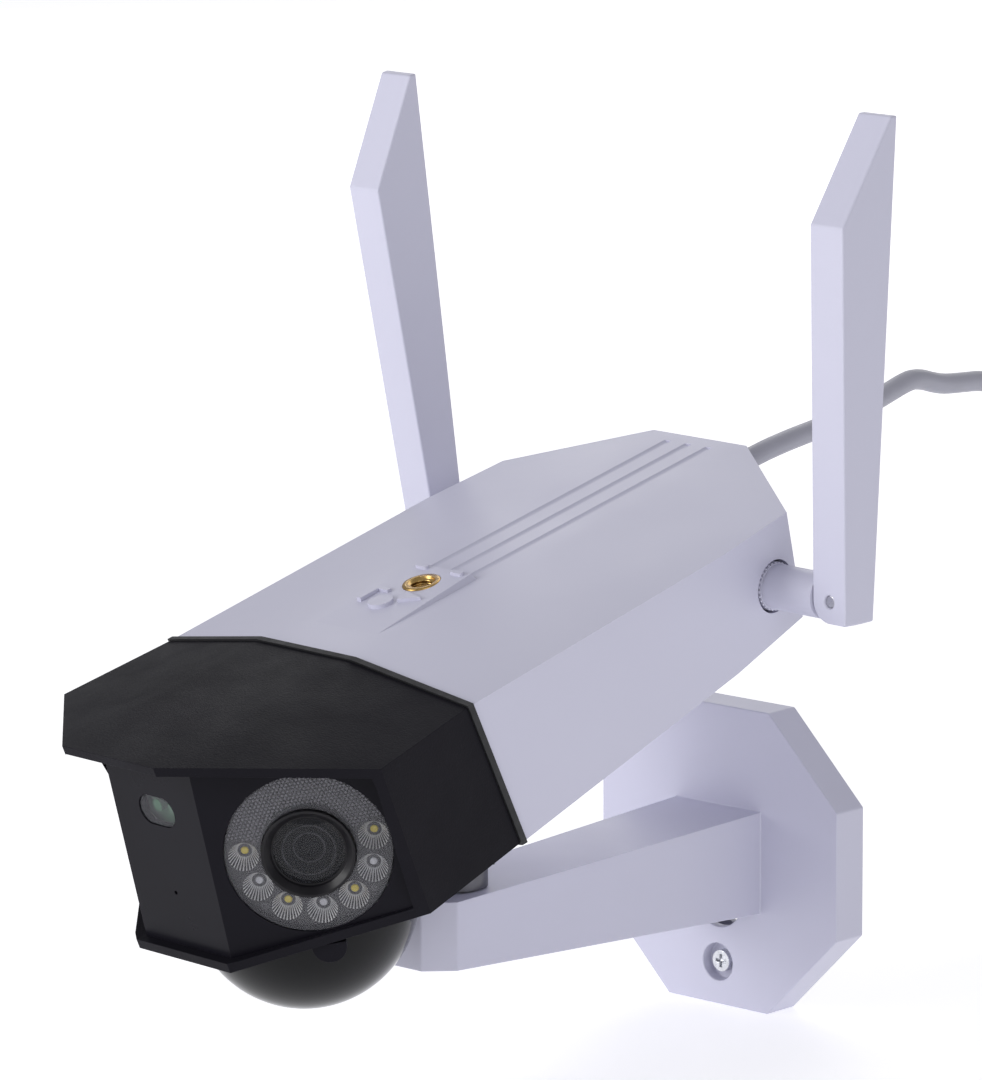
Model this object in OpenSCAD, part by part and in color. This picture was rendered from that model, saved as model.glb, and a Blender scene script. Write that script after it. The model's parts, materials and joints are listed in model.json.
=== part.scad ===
// Two-lens outdoor security camera on an octagonal wall bracket.
// Millimetres, +Z up. The camera looks along -Y and the wall is the plane y = 0.
// The origin is the centre of the bracket's wall face. "left" is the object's own left, +X.
// The head is drawn in its own frame: origin on the centre of the roof edge where the hood
// meets the housing, +Y to the rear. head_frame() tilts and pans it into place.

/* [Pose at rest] */
// Nose-down tilt of the head
rest_tilt = 15; // [0:1:20]
// Pan of the head, negative turns the nose to its right
rest_pan = -4.5; // [-30:0.5:30]
// Rearward lean of the left antenna in the head's frame
lean_left = 14; // [0:0.5:30]
// Rearward lean of the right antenna in the head's frame
lean_right = 3; // [0:0.5:30]

/* [Head] */
// Length of the white housing along the roof
housing_len = 132; // [128:1:136]
// Length of the black hood along the roof
hood_len = 62; // [60:1:64]
// Half width of the flat roof strip
roof_half = 16; // [15:0.5:17]
// Half width of the housing at its upper side edge
side_half = 52; // [51:0.5:53]
// Height of the head at its lower front lip
head_h = 55; // [54:0.5:56]
// Thickness of the housing wall
wall = 2.2; // [2:0.1:2.6]

/* [Face] */
// Angle that each lens panel is swept back
sweep = 44; // [42:1:46]
// Half width of the centre panel
panel_half = 15; // [14:0.5:16]
// Distance of the centre panel in front of the seam
panel_y = 52; // [51:0.5:53]
// Radius of the ring window
window_r = 19.2; // [18.8:0.1:19.4]
// Radius of the lens barrel
barrel_r = 10.7; // [10:0.1:11]
// Number of lamps in each ring
lamp_count = 7; // [5:1:7]
// Radius of the circle that the lamps sit on
lamp_circle_r = 15; // [14.6:0.1:15.2]

/* [Motion sensor dome] */
// Radius of the dome
dome_r = 26.8; // [25:0.1:27]

/* [Bracket] */
// Width across the flats of the wall plate
plate_w = 76.3; // [74:0.1:80]
// Corner cut of the wall plate
plate_cut = 22; // [20:0.5:24]
// Depth of the wall plate
plate_t = 10.3; // [9:0.1:12]
// Distance from the wall to the pan axis
reach = 106; // [104:1:110]
// Height of the tilt axis above the plate's centre
tilt_z = 25; // [24:0.5:28]

/* [Antennas] */
// Length of the paddle's rear edge
paddle_len = 118; // [110:0.5:120]
// Thickness of the paddle
paddle_t = 10.6; // [10:0.1:11]
// Distance from the head's centre plane to the fold hinge
hinge_x = 70.5; // [70:0.5:73]

/* [Cable] */
// Diameter of the cable
cable_d = 5.2; // [5:0.1:5.6]

/* [Hidden] */
$fn = 64;

white = "#dcdcea";
black = "#1c1c20";
eps = 0.01;

// The seam between hood and housing leans back towards the floor of the head.
seam_lean = 0.25;
// Height of the roof's side edge below the roof strip, at the seam and at the rear.
eave_z = -6.4;
eave_rear_z = -4;
// The flat side wall leans inwards towards the floor and towards the rear.
side_lean = 0.087;
side_taper = 0.0097;
function side_x(y, z) = side_half - side_taper * y + side_lean * (z - eave_z);
function eave(y) = eave_z + (eave_rear_z - eave_z) * y / 110;
// Tilt axis in the head's frame.
knuckle_y = 32;
knuckle_z = -58.7;
// The floor rises from the seam to the rear.
floor_seam = [12.6, -50.4];
floor_rear = [126.5, -36];
floor_slope = (floor_rear[1] - floor_seam[1]) / (floor_rear[0] - floor_seam[0]);
floor_angle = atan(floor_slope);
function floor_z(y) = floor_seam[1] + (y - floor_seam[0]) * floor_slope;

face_t = 2.4;
lens_q = 22.5;
lens_z = -30;
lens_x = panel_half + lens_q * cos(sweep);
lens_y = -panel_y + lens_q * sin(sweep);
lamp_step = 31;
dome_pos = [0, -16.2, -55.2];
dome_wall = 1.8;
flange_z = -47.7;
seam_gap = 0.95;
insert_y = 37.5;
plateau_half = 10.5;
plateau_front = 13;
plateau_rear = 46;
plateau_h = 1.6;
socket_pos = [45.5, 103, -20];
gland_z = -11.5;
board_z = -30;
board_t = 1.6;
plate_half = plate_w / 2;
post_r = 8;
ground_z = -plate_half;

// ---------- frames and small helpers ----------

module head_frame() {
  translate([0, -reach, tilt_z])
    rotate([0, 0, rest_pan])
      rotate([rest_tilt, 0, 0])
        translate([0, -knuckle_y, -knuckle_z])
          children();
}

module both_sides() {
  children();
  mirror([1, 0, 0]) children();
}

// Convex solid around a list of half-side points and their mirror images.
module shell_hull(points) {
  all = [for (s = [1, -1]) for (p = points) [s * p[0], p[1], p[2]]];
  hull() polyhedron(points = all, faces = [[for (i = [0:len(all) - 1]) i]]);
}

// A point of the shell moved inwards by w in width and height.
function inward(p, w) = [p[0] > 20 ? p[0] - w : p[0] - 0.4 * w, p[1],
                         p[2] > -25 ? p[2] - w : p[2] + w];

// Lens frame: origin on the lens panel's front face, +Z out along the optical axis, +Y up.
module lens_frame() {
  translate([lens_x, lens_y, lens_z])
    rotate([0, 0, sweep])
      rotate([90, 0, 0])
        children();
}

module both_lenses() both_sides() lens_frame() children();

// Places a child at every lamp position whose index is listed.
module at_lamps(which) {
  for (i = which)
    rotate([0, 0, -90 + (i - (lamp_count - 1) / 2) * lamp_step])
      translate([lamp_circle_r, 0, 0])
        children();
}

// Frame on the sloping floor of the head, +Z into the head.
module floor_frame(y) {
  translate([0, y, floor_z(y)])
    rotate([floor_angle, 0, 0])
      children();
}

module tube(outer, inner, h) {
  difference() {
    cylinder(r = outer, h = h);
    translate([0, 0, -1]) cylinder(r = inner, h = h + 2);
  }
}

module stadium(length, width, h) {
  linear_extrude(height = h)
    union() {
      square([length - width, width], center = true);
      for (s = [-1, 1]) translate([s * (length - width) / 2, 0]) circle(d = width);
    }
}

// A screw along -Z: head above z = 0, shank below, with a cross recess.
module screw(head_r, head_h, shank_r, shank_len) {
  difference() {
    union() {
      cylinder(r = head_r, h = head_h);
      translate([0, 0, -shank_len]) cylinder(r = shank_r, h = shank_len + eps);
    }
    for (a = [0, 90])
      rotate([0, 0, a])
        translate([-head_r * 0.6, -head_r * 0.14, head_h * 0.45])
          cube([head_r * 1.2, head_r * 0.28, head_h]);
  }
}

// ---------- shell of the head ----------

seam_points = [
  [roof_half, 0, 0],
  [side_half, -eave_z * seam_lean, eave_z],
  [side_x(11.4, -45.4), 45.4 * seam_lean, -45.4],
  [roof_half + 2, floor_seam[0], floor_seam[1]]
];
housing_rear = [
  [side_x(86, eave(86)), 86, eave(86)],
  [side_x(86, -35.3), 86, -35.3],
  [side_half - 3, 110.5, eave_rear_z],
  [side_half - 5.5, 111.5, -31.8],
  [roof_half, housing_len, 0],
  [roof_half, housing_len - 5.5, floor_rear[1]]
];
hood_front = [
  [roof_half, -hood_len, 0],
  [side_half + 3.5, -30, eave_z - 1.1],
  [side_half - 3.5, -19.5, -49.5],
  [roof_half, -hood_len + 8, -head_h]
];

function seam_at(dy) = [for (p = seam_points)
  let (low = dy > 0 && p[2] < -50, d = low ? dy / (1 + seam_lean * floor_slope) : dy)
    [p[0], p[1] + d, p[2] + (low ? d * floor_slope : 0)]];

// Moves rear points forwards as well, so that the rear wall keeps its thickness.
function inner_rear(points) =
  [for (p = points) let (q = inward(p, wall)) [q[0], q[1] - (p[1] > 100 ? 1.2 * wall : 0), q[2]]];
// The seam end of a cavity, pushed past the seam so that it cuts through.
function opened(points, dy) = [for (p = points) let (q = inward(p, wall)) [q[0], q[1] + dy, q[2]]];

module housing_cavity() shell_hull(concat(opened(seam_points, -4), inner_rear(housing_rear)));
module hood_cavity() {
  front = [for (p = hood_front) let (q = inward(p, wall)) [q[0] + 0.4, q[1] - 5, q[2]]];
  shell_hull(concat(opened(seam_points, 4), front));
}

module groove(x) {
  translate([x, 47, 0]) rotate([-90, 0, 0]) cylinder(r = 1.5, h = 81);
}

module card_pocket(grow, depth) {
  floor_frame(66)
    translate([0, 0, -1])
      linear_extrude(height = depth + 1)
        offset(delta = grow) square([30, 17], center = true);
}

module main_housing() {
  color(white) head_frame() difference() {
    union() {
      difference() {
        shell_hull(concat(seam_at(seam_gap), housing_rear));
        housing_cavity();
      }
      roof_landing();
      intersection() {
        shell_hull(concat(seam_at(seam_gap), housing_rear));
        housing_bosses();
      }
    }
    // three shallow grooves along the roof
    for (i = [-1:1]) translate([0, 0, 1]) groove(7 * i);
    // inserts
    translate([0, insert_y, -9]) cylinder(r = 4.45, h = 14);
    translate([0, insert_y, 0.5]) cylinder(r = 4.7, h = 4);
    floor_frame(knuckle_y) translate([0, 0, -2]) cylinder(r = 4.45, h = 11.2);
    floor_frame(knuckle_y) translate([0, 0, -2]) cylinder(r = 4.7, h = 2.9);
    // antenna openings
    both_sides() translate([socket_pos[0] - 2.5, socket_pos[1], socket_pos[2]])
      rotate([0, 90, 0]) cylinder(r = 6.5, h = 20);
    both_sides() translate([socket_pos[0] - 10, socket_pos[1], socket_pos[2]])
      rotate([0, 90, 0]) cylinder(r = 3.3, h = 12);
    // cable hole
    translate([0, housing_len - 8, gland_z]) rotate([-90, 0, 0]) cylinder(r = 4, h = 14);
    // speaker grille
    for (ring = [0:2]) for (a = [0:60 / max(ring, 1):359])
      if (ring > 0 || a == 0) floor_frame(96) rotate([0, 0, a])
        translate([3.4 * ring, 0, -3]) cylinder(r = 0.75, h = 8, $fn = 24);
    // card cover pocket, card slot, reset hole and cover screw holes
    card_pocket(0.2, 1.2);
    floor_frame(66) translate([-7.5, -4.2, -3]) cube([15, 2.2, 12]);
    floor_frame(66) translate([0, 5, -3]) cylinder(r = 1.3, h = 12);
    for (s = [-1, 1]) floor_frame(66) translate([12 * s, 0, -1]) cylinder(r = 1.05, h = 7);
    // board screw holes
    for (s = [-1, 1]) for (y = [26, 100])
      translate([36 * s, y, board_z - 6]) cylinder(r = 1.15, h = 8);
  }
}

// Raised ramp on the roof around the threaded insert, with small locating ridges.
module roof_landing() {
  ramp = (plateau_h - eps) / (plateau_rear - plateau_front);
  hull() polyhedron(points = [
      [-plateau_half, plateau_front, -1], [plateau_half, plateau_front, -1],
      [plateau_half, plateau_rear, -1], [-plateau_half, plateau_rear, -1],
      [-plateau_half, plateau_front, eps], [plateau_half, plateau_front, eps],
      [plateau_half - 1.3, plateau_rear - 0.8, plateau_h],
      [1.3 - plateau_half, plateau_rear - 0.8, plateau_h]
    ], faces = [[0, 1, 2, 3], [4, 5, 6, 7]]);
  // a button, a wedge, an angled rib and two short ribs
  translate([-1.5, 25.5, 0]) cylinder(r = 3, h = 25.5 * ramp + 0.3);
  translate([3, 28.6, 0]) linear_extrude(height = 29 * ramp + 0.2)
    polygon([[-0.6, -1.4], [4.4, 1.6], [-1.8, 3.2]]);
  translate([-8, 31, 0]) linear_extrude(height = 31 * ramp + 0.1) union() {
    translate([0, -3.5]) square([1.3, 6], center = true);
    translate([1.6, 0]) square([4.4, 1.3], center = true);
  }
  for (x = [-6, 6]) translate([x, 43.6, 0])
    stadium(4, 1.5, 43.6 * ramp + 0.2);
}

module housing_bosses() {
  // insert bosses
  translate([0, insert_y, -10.5]) cylinder(r = 7, h = 10);
  floor_frame(knuckle_y) cylinder(r = 8, h = 10.5);
  // board posts
  for (s = [-1, 1]) for (y = [26, 100])
    translate([36 * s, y, -50]) cylinder(r = 3, h = 50 + board_z);
  // antenna bosses
  both_sides() translate([socket_pos[0] - 6.5, socket_pos[1], socket_pos[2]])
    rotate([0, 90, 0]) cylinder(r = 8.2, h = 12);
  // floor pad behind the card cover
  floor_frame(66) translate([-17, -10.5, 0]) cube([34, 21, 4]);
  // rear boss for the gland
  translate([0, housing_len - 7, gland_z]) rotate([-90, 0, 0]) cylinder(r = 8, h = 7);
}

module front_hood() {
  color(black) head_frame() difference() {
    union() {
      difference() {
        shell_hull(concat(seam_at(-seam_gap), hood_front));
        hood_cavity();
      }
      // rounded tabs on the lower lip, under each lens
      both_sides() lens_frame()
        translate([0, -23.4, -1.5]) linear_extrude(height = 1.5) difference() {
          circle(r = 4);
          translate([-5, 0.6]) square([10, 5]);
        }
    }
    translate([0, dome_pos[1], -60]) cylinder(r = dome_r + 0.1, h = 16);
    translate([0, dome_pos[1], flange_z - 0.1]) cylinder(r = dome_r + 1.8, h = 8);
    both_sides() translate([40, 2, -49]) cylinder(r = 1.1, h = 10);
  }
}

// Chevron of the centre panel and the two swept lens panels, face_t thick.
module panel_slab() {
  function swept(q, back) = [panel_half + q * cos(sweep) - back * sin(sweep),
                             -panel_y + q * sin(sweep) + back * cos(sweep)];
  reach_q = 54;
  inner_half = panel_half - face_t * tan(sweep / 2);
  translate([0, 0, -head_h + wall])
    linear_extrude(height = head_h - 2 * wall)
      polygon(concat(
        [[-panel_half, -panel_y], [panel_half, -panel_y], swept(reach_q, 0)],
        [swept(reach_q, face_t), [inner_half, face_t - panel_y]],
        [[-inner_half, face_t - panel_y]],
        [for (p = [swept(reach_q, face_t), swept(reach_q, 0)]) [-p[0], p[1]]]));
}

module hood_gasket() {
  // thin band in the seam, a little proud of both shells
  color("#141416") head_frame() difference() {
    shell_hull([for (p = seam_points) for (dy = [-0.85, 0.85])
      let (e = p[2] > -25 ? 0.5 : -0.5) [p[0] + 0.5, p[1] - seam_lean * e + dy, p[2] + e]]);
    shell_hull([for (p = seam_points) for (dy = [-3, 3])
      let (q = inward(p, 2)) [q[0], q[1] + dy, q[2]]]);
  }
}

module face_plate() {
  color("#101013") head_frame() difference() {
    intersection() {
      panel_slab();
      hood_cavity();
    }
    both_lenses() translate([0, 0, -4]) cylinder(r = window_r + 0.1, h = 8);
    translate([0, -panel_y - 2, -18]) rotate([-90, 0, 0]) stadium(12.2, 7.4, 8);
    translate([0, -panel_y - 2, -38.6]) rotate([-90, 0, 0]) cylinder(r = 0.5, h = 8, $fn = 24);
  }
}

// ---------- optics, one set behind each lens panel ----------

module ring_windows() {
  color([0.8, 0.8, 0.82, 0.4]) head_frame() both_lenses()
    translate([0, 0, -2.2]) tube(window_r, barrel_r + 0.15, 2);
}

module lens_barrels() {
  color("#17171a") head_frame() both_lenses() difference() {
    translate([0, 0, -13]) cylinder(r = barrel_r, h = 13.5);
    translate([0, 0, -1.6]) cylinder(r = 8.6, h = 3);
    translate([0, 0, -7]) cylinder(r = 6.4, h = 8);
    translate([0, 0, -14]) cylinder(r = 3.6, h = 15);
    // bevelled bezel
    translate([0, 0, -1]) cylinder(r1 = 8.6, r2 = 10.2, h = 1.6);
  }
}

module front_lenses() {
  color([0.35, 0.4, 0.5, 0.5]) head_frame() both_lenses() rotate_extrude() intersection() {
    translate([0, -1.6]) square([8.55, 3]);
    translate([0, -23.1]) circle(r = 23, $fn = 128);
  }
}

module rear_lenses() {
  color([0.3, 0.35, 0.5, 0.5]) head_frame() both_lenses() {
    translate([0, 0, -6.9]) cylinder(r = 6.35, h = 1.6);
    translate([0, 0, -12.9]) cylinder(r = 3.55, h = 2.4);
  }
}

module lens_holders() {
  color("#1c1c1f") head_frame() both_lenses() difference() {
    translate([-9, -9, -18]) cube([18, 18, 5]);
    translate([0, 0, -19]) cylinder(r = 6, h = 8);
  }
}

module image_sensors() {
  color("#30303c") head_frame() both_lenses() translate([-4, -3.5, -18]) cube([8, 7, 1]);
}

module sensor_boards() {
  color("#14502e") head_frame() both_lenses() translate([-11, -11, -19.2]) cube([22, 22, 1.2]);
}

module lamp_cup() {
  // fluted bowl open to the front
  translate([0, 0, -5]) cylinder(r1 = 1.3, r2 = 3.6, h = 5.2);
  translate([0, 0, -6]) cylinder(r = 1.3, h = 2);
}

module lamp_reflectors() {
  color("#c8c8cc") head_frame() both_lenses() difference() {
    translate([0, 0, -7.6]) tube(window_r - 0.3, barrel_r + 0.3, 5.2);
    translate([0, 0, -2.4]) at_lamps([0:lamp_count - 1]) lamp_cup();
  }
}

module lamp_boards() {
  color("#e6e6e6") head_frame() both_lenses()
    translate([0, 0, -8.8]) tube(window_r - 0.3, barrel_r + 0.3, 1.2);
}

module white_lamps() {
  color("#f2d648") head_frame() both_lenses()
    translate([0, 0, -7.6]) at_lamps([0:2:lamp_count - 1])
      translate([-0.85, -0.85, 0]) cube([1.7, 1.7, 0.7]);
}

module infrared_lamps() {
  color("#8c8c96") head_frame() both_lenses()
    translate([0, 0, -7.6]) at_lamps([1:2:lamp_count - 1])
      translate([-0.8, -0.8, 0]) cube([1.6, 1.6, 0.7]);
}

// ---------- centre panel ----------

module light_sensor_window() {
  color([0.3, 0.3, 0.35, 0.5]) head_frame()
    translate([0, -panel_y + 0.3, -18]) rotate([-90, 0, 0]) stadium(12, 7.2, 1.8);
}

module light_sensor_board() {
  color("#14502e") head_frame() {
    translate([-8, -panel_y + 4.2, -25]) cube([16, 1.2, 13]);
    for (s = [-1, 1]) translate([2.6 * s, -panel_y + 4.3, -18])
      rotate([90, 0, 0]) cylinder(r = 1.5, h = 1.9);
  }
}

module microphone_gasket() {
  color("#222222") head_frame()
    translate([0, -panel_y + face_t, -38.6]) rotate([-90, 0, 0]) tube(3.2, 0.6, 1.4);
}

module microphone() {
  color("#b8b8bc") head_frame()
    translate([0, -panel_y + face_t + 1.4, -38.6]) rotate([-90, 0, 0]) cylinder(r = 3, h = 1.8);
}

// ---------- motion sensor dome ----------

// Half section of a bowl of radius r that carries a straight neck up to height top.
module bowl_section(r, top) {
  intersection() {
    circle(r = r, $fn = 96);
    translate([0, -r]) square([r, r]);
  }
  translate([0, -1]) square([r - 0.2, top + 1]);
}

// Room for the lower edges of the two lamp boards.
module lamp_board_clearance() {
  both_lenses() translate([0, 0, -9.3]) cylinder(r = window_r + 0.1, h = 2.2);
}

module motion_dome() {
  rim = flange_z - dome_pos[2];
  color("#08080a") head_frame() difference() {
    translate(dome_pos) rotate_extrude() difference() {
      union() {
        bowl_section(dome_r, rim + 0.5);
        translate([0, rim]) square([dome_r + 1.6, 1.5]);
      }
      bowl_section(dome_r - dome_wall, rim + 3);
    }
    lamp_board_clearance();
  }
}

module dome_gasket() {
  color("#1a1a1a") head_frame() difference() {
    translate([0, dome_pos[1], flange_z + 1.5]) tube(dome_r + 1.4, dome_r - 1.6, 1);
    lamp_board_clearance();
  }
}

module motion_sensor_board() {
  color("#14502e") head_frame()
    translate([-19, dome_pos[1] - 17, flange_z + 2.6]) cube([38, 34, 1.2]);
}

module motion_sensor() {
  color("#b0b0b4") head_frame() for (i = [-1:1])
    translate([11 * i, dome_pos[1], flange_z - 1.6]) cylinder(r = 4.6, h = 4.2);
}

// ---------- electronics in the housing ----------

module main_board() {
  color("#14502e") head_frame() difference() {
    translate([-40, 20, board_z]) cube([80, 86, board_t]);
    for (s = [-1, 1]) for (y = [26, 100])
      translate([36 * s, y, board_z - 1]) cylinder(r = 1.3, h = 4);
    translate([-14, 58, board_z - 1]) cube([28, 18, 4]);
  }
}

module processor() {
  color("#222226") head_frame() translate([-8, 34, board_z + board_t]) cube([16, 16, 1.6]);
}

module memory_chips() {
  color("#26262a") head_frame() for (x = [-26, -14, 12])
    translate([x, 80, board_z + board_t]) cube([9, 12, 1.1]);
}

module heat_sink() {
  color("#b4b6ba") head_frame() translate([-18, 26, board_z + board_t + 1.6]) {
    cube([36, 32, 2]);
    for (i = [0:8]) translate([i * 4.25, 0, 1.9]) cube([2, 32, 10]);
  }
}

module wifi_module() {
  color("#c4c4c8") head_frame() translate([24, 78, board_z + board_t]) cube([14, 16, 2.4]);
}

module board_screws() {
  color("#9a9aa0") head_frame() for (s = [-1, 1]) for (y = [26, 100])
    translate([36 * s, y, board_z + board_t]) screw(2.2, 1.4, 1.1, 5.4);
}

module hood_screws() {
  color("#3a3a3e") head_frame() both_sides()
    translate([40, 2, -44.4]) screw(2, 1.3, 1.05, 2.6);
}

module speaker() {
  color("#55555c") head_frame() floor_frame(96) difference() {
    translate([0, 0, wall + 0.8]) cylinder(r = 13, h = 1.8);
    translate([0, 0, wall - 0.5]) cylinder(r = 10.5, h = 2.1);
  }
}

module card_reader() {
  color("#c0c0c4") head_frame() floor_frame(66)
    translate([-8.5, -5.2, 4]) cube([17, 4.2, 9]);
}

module card_cover() {
  color(white) head_frame() difference() {
    floor_frame(66) translate([0, 0, 0]) linear_extrude(height = 1.15)
      square([30, 17], center = true);
    for (s = [-1, 1]) floor_frame(66) translate([12 * s, 0, -1]) cylinder(r = 1.1, h = 4);
    for (s = [-1, 1]) floor_frame(66) translate([12 * s, 0, -1]) cylinder(r = 2, h = 1.5);
  }
}

module card_cover_screws() {
  color("#9a9aa0") head_frame() for (s = [-1, 1])
    floor_frame(66) translate([12 * s, 0, 0.5]) rotate([180, 0, 0]) screw(1.8, 0.9, 1.0, 4.5);
}

module reset_button() {
  color("#33333a") head_frame() floor_frame(66) {
    translate([0, 5, 1.7]) cylinder(r = 1.25, h = 3);
    translate([0, 5, 4.1]) cylinder(r = 2.2, h = 1.2);
  }
}

module brass_insert(h) {
  // 1/4 inch, 20 threads an inch: the bore is the thread's minor diameter
  difference() {
    union() {
      cylinder(r = 4.4, h = h);
      translate([0, 0, h - 0.8]) cylinder(r = 4.6, h = 0.8);
    }
    translate([0, 0, -1]) cylinder(r = 2.55, h = h + 2);
    translate([0, 0, h - 0.7]) cylinder(r1 = 2.55, r2 = 3.3, h = 0.71);
  }
}

module roof_insert() {
  color("#b08d3c") head_frame() translate([0, insert_y, -7.6]) brass_insert(9);
}

module floor_insert() {
  color("#b08d3c") head_frame() floor_frame(knuckle_y)
    translate([0, 0, 9]) rotate([180, 0, 0]) brass_insert(9);
}

// ---------- antennas ----------

module antenna_sockets() {
  color("#c9a646") head_frame() both_sides()
    translate([socket_pos[0] - 9, socket_pos[1], socket_pos[2]]) rotate([0, 90, 0]) {
      cylinder(r = 3.2, h = 13.5);
      translate([0, 0, -0.8]) cylinder(r = 4.6, h = 3.1, $fn = 6);
    }
}

module antenna_leads() {
  // thin coaxial leads from the radio module to the sockets
  color("#2a2a2e") head_frame() {
    lead([[socket_pos[0] - 10.5, socket_pos[1], socket_pos[2]], [33, 99, -20], [31, 88, -21],
          [31, 84, board_z + board_t + 3.1]]);
    lead([[10.5 - socket_pos[0], socket_pos[1], socket_pos[2]], [-30, 105, -19], [0, 106, -18],
          [24, 100, -20], [27, 90, -22], [27, 84, board_z + board_t + 3.1]]);
  }
}

module lead(points) {
  swept_tube(smooth_route(points, 4), 0.55, 8, [0.3, 0.5, 1]);
}

// Antenna frame: origin on the fold hinge, +X outwards along the socket, +Z up the paddle.
module antenna_frame(side, lean) {
  head_frame()
    mirror([side > 0 ? 0 : 1, 0, 0])
      translate([hinge_x, socket_pos[1], socket_pos[2]])
        rotate([-lean, 0, 0])
          children();
}

paddle_half_w = 4.75;
tongue_r = 4.2;
stub_end = 5.5;

module antenna_base(side, lean) {
  color(white) antenna_frame(side, lean) difference() {
    union() {
      translate([-stub_end, 0, 0]) rotate([0, -90, 0]) cylinder(r = 5.45, h = 16);
      // knurled collar
      translate([-stub_end - 16, 0, 0]) rotate([0, -90, 0]) cylinder(r = 5.6, h = 5);
      for (a = [0:12:359]) rotate([a, 0, 0])
        translate([-stub_end - 20.6, -0.28, 5.4]) cube([4.2, 0.56, 0.45]);
      // tongue that the paddle folds on
      rotate([90, 0, 0]) translate([0, 0, -2]) cylinder(r = tongue_r, h = 4);
      translate([-stub_end - 1, -2, -tongue_r]) cube([stub_end + 1, 4, 2 * tongue_r]);
    }
    rotate([90, 0, 0]) translate([0, 0, -6]) cylinder(r = 1.55, h = 12);
    // bore that screws onto the socket
    translate([-stub_end - 22, 0, 0]) rotate([0, 90, 0]) cylinder(r = 3.3, h = 9);
  }
}

module hinge_pin(side, lean) {
  color("#c4c4cc") antenna_frame(side, lean)
    rotate([90, 0, 0]) translate([0, 0, -paddle_half_w + 0.5])
      cylinder(r = 1.5, h = 2 * paddle_half_w - 1);
}

module paddle(side, lean) {
  front_len = paddle_len - 27;
  color(white) antenna_frame(side, lean) difference() {
    translate([-paddle_t / 2, 0, 0]) rotate([90, 0, 90]) linear_extrude(height = paddle_t)
      polygon([[-paddle_half_w, -5.3], [paddle_half_w, -5.3],
               [13.6, paddle_len - 5.3], [11.6, paddle_len - 5.3],
               [-paddle_half_w, front_len - 2.7]]);
    // rounded inner heel
    difference() {
      translate([-6, -6, -6]) cube([6, 12, 6]);
      rotate([90, 0, 0]) translate([0, 0, -7]) cylinder(r = paddle_t / 2, h = 14);
    }
    // slot for the tongue
    rotate([90, 0, 0]) translate([0, 0, -2.1]) cylinder(r = tongue_r + 0.3, h = 4.2);
    translate([-6, -2.1, -tongue_r - 0.3]) cube([6, 4.2, 2 * tongue_r + 0.6]);
    translate([-tongue_r - 0.3, -2.1, -6]) cube([2 * tongue_r + 0.6, 4.2, 6]);
    rotate([90, 0, 0]) translate([0, 0, -8]) cylinder(r = 1.53, h = 16);
    // room for the aerial strip
    translate([-1.2, -2.4, 12]) cube([2.4, 4.8, front_len - 24]);
  }
}

// ---------- bracket ----------

module octagon(half, cut) {
  polygon([[half - cut, half], [half, half - cut], [half, cut - half], [half - cut, -half],
           [cut - half, -half], [-half, cut - half], [-half, half - cut], [cut - half, half]]);
}

// Octagonal slab from y = -back to y = -front.
module wall_slab(half, cut, back, front) {
  translate([0, -back, 0]) rotate([90, 0, 0]) linear_extrude(height = front - back)
    octagon(half, cut);
}

arm_root = [13.8, 12.8, -13];
arm_tip = [10.5, 9.2, -7.5];
arm_tip_y = reach + 10.5;
passage_z = -10.3;
passage_r = 8;
lock_z = -27.4;

module arm_solid(inset, from_y, to_y) {
  function lerp(a, b, y) = a + (b - a) * (y - plate_t) / (arm_tip_y - plate_t);
  function ring(y) = [lerp(arm_root[0], arm_tip[0], y) - inset,
                      lerp(arm_root[1], arm_tip[1], y) - inset,
                      lerp(arm_root[2], arm_tip[2], y)];
  hull() polyhedron(points = [for (y = [from_y, to_y]) for (s = [1, -1])
      for (k = [1, 2]) [s * ring(y)[0], -y, ring(y)[k]]], faces = [[0, 1, 2, 3], [4, 5, 6, 7]]);
}

module wall_bracket() {
  color(white) difference() {
    union() {
      difference() {
        wall_slab(plate_half, plate_cut, 0, plate_t);
        wall_slab(plate_half - 3.6, plate_cut - 1.5, -1, plate_t - 2.6);
        // cable passage under the arm
        translate([0, 0, passage_z]) rotate([90, 0, 0]) cylinder(r = passage_r, h = 30);
      }
      difference() {
        union() {
          arm_solid(0, plate_t - 1, arm_tip_y);
          // chamfered end of the arm
          translate([0, 0, arm_tip[2]]) linear_extrude(height = arm_tip[1] - arm_tip[2])
            polygon([[-arm_tip[0], -arm_tip_y], [arm_tip[0], -arm_tip_y],
                     [4.3, -arm_tip_y - 6.2], [-4.3, -arm_tip_y - 6.2]]);
        }
        // open channel along the underside
        intersection() {
          arm_solid(2.4, plate_t - 3, reach - 13);
          translate([-20, -reach + 13, -20]) cube([40, reach, 40]);
        }
        translate([-30, -plate_t - 90, -40]) cube([60, 90, 24.4 - 0]);
      }
      // boss behind the locking screw
      translate([0, -2.3, lock_z]) rotate([90, 0, 0]) cylinder(r = 6, h = plate_t - 2.4);
    }
    // pan bore and its counterbore
    translate([0, -reach, -20]) cylinder(r = 6, h = 40);
    translate([0, -reach, arm_tip[2] - 4]) cylinder(r = 7.6, h = 7.6);
    // recess and clearance hole of the locking screw
    translate([0, -plate_t + 3.2, lock_z]) rotate([90, 0, 0]) cylinder(r = 4.75, h = 8);
    translate([0, 1, lock_z]) rotate([90, 0, 0]) cylinder(r = 1.7, h = 20);
  }
}

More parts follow.
